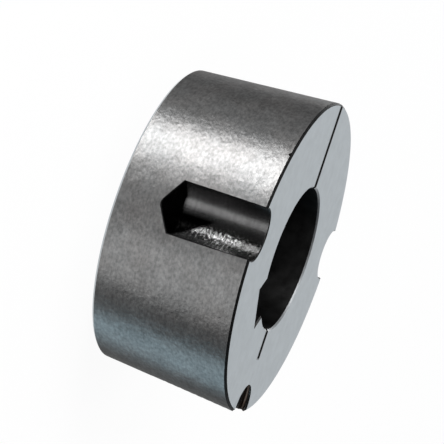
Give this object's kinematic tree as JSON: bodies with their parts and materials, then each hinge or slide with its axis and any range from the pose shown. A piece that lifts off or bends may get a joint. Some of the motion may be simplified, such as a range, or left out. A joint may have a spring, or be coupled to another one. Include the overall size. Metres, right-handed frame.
{
  "type": "taper bush",
  "caption": "Split tapered clamping bush with a keyed shaft bore and half-round screw pockets sunk along its barrel from the large end.",
  "frame": {"origin": "centre of the small end, on the axis of the shaft bore; the bush stands on its small end", "axes": "+Z along the bore axis from the small end to the large end, where the screws go in; +Y towards the saw cut that splits the wall; the clamping screw pockets are near +X and -X and the jacking screw pocket is at -Y"},
  "size_m": [0.0698, 0.0696, 0.0318],
  "materials": {
    "bush_iron": "ground bright end faces and a dark, grainy turned barrel"
  },
  "bodies": {
    "root": {"taper_bush": "bush_iron"}
  },
  "joints": []
}
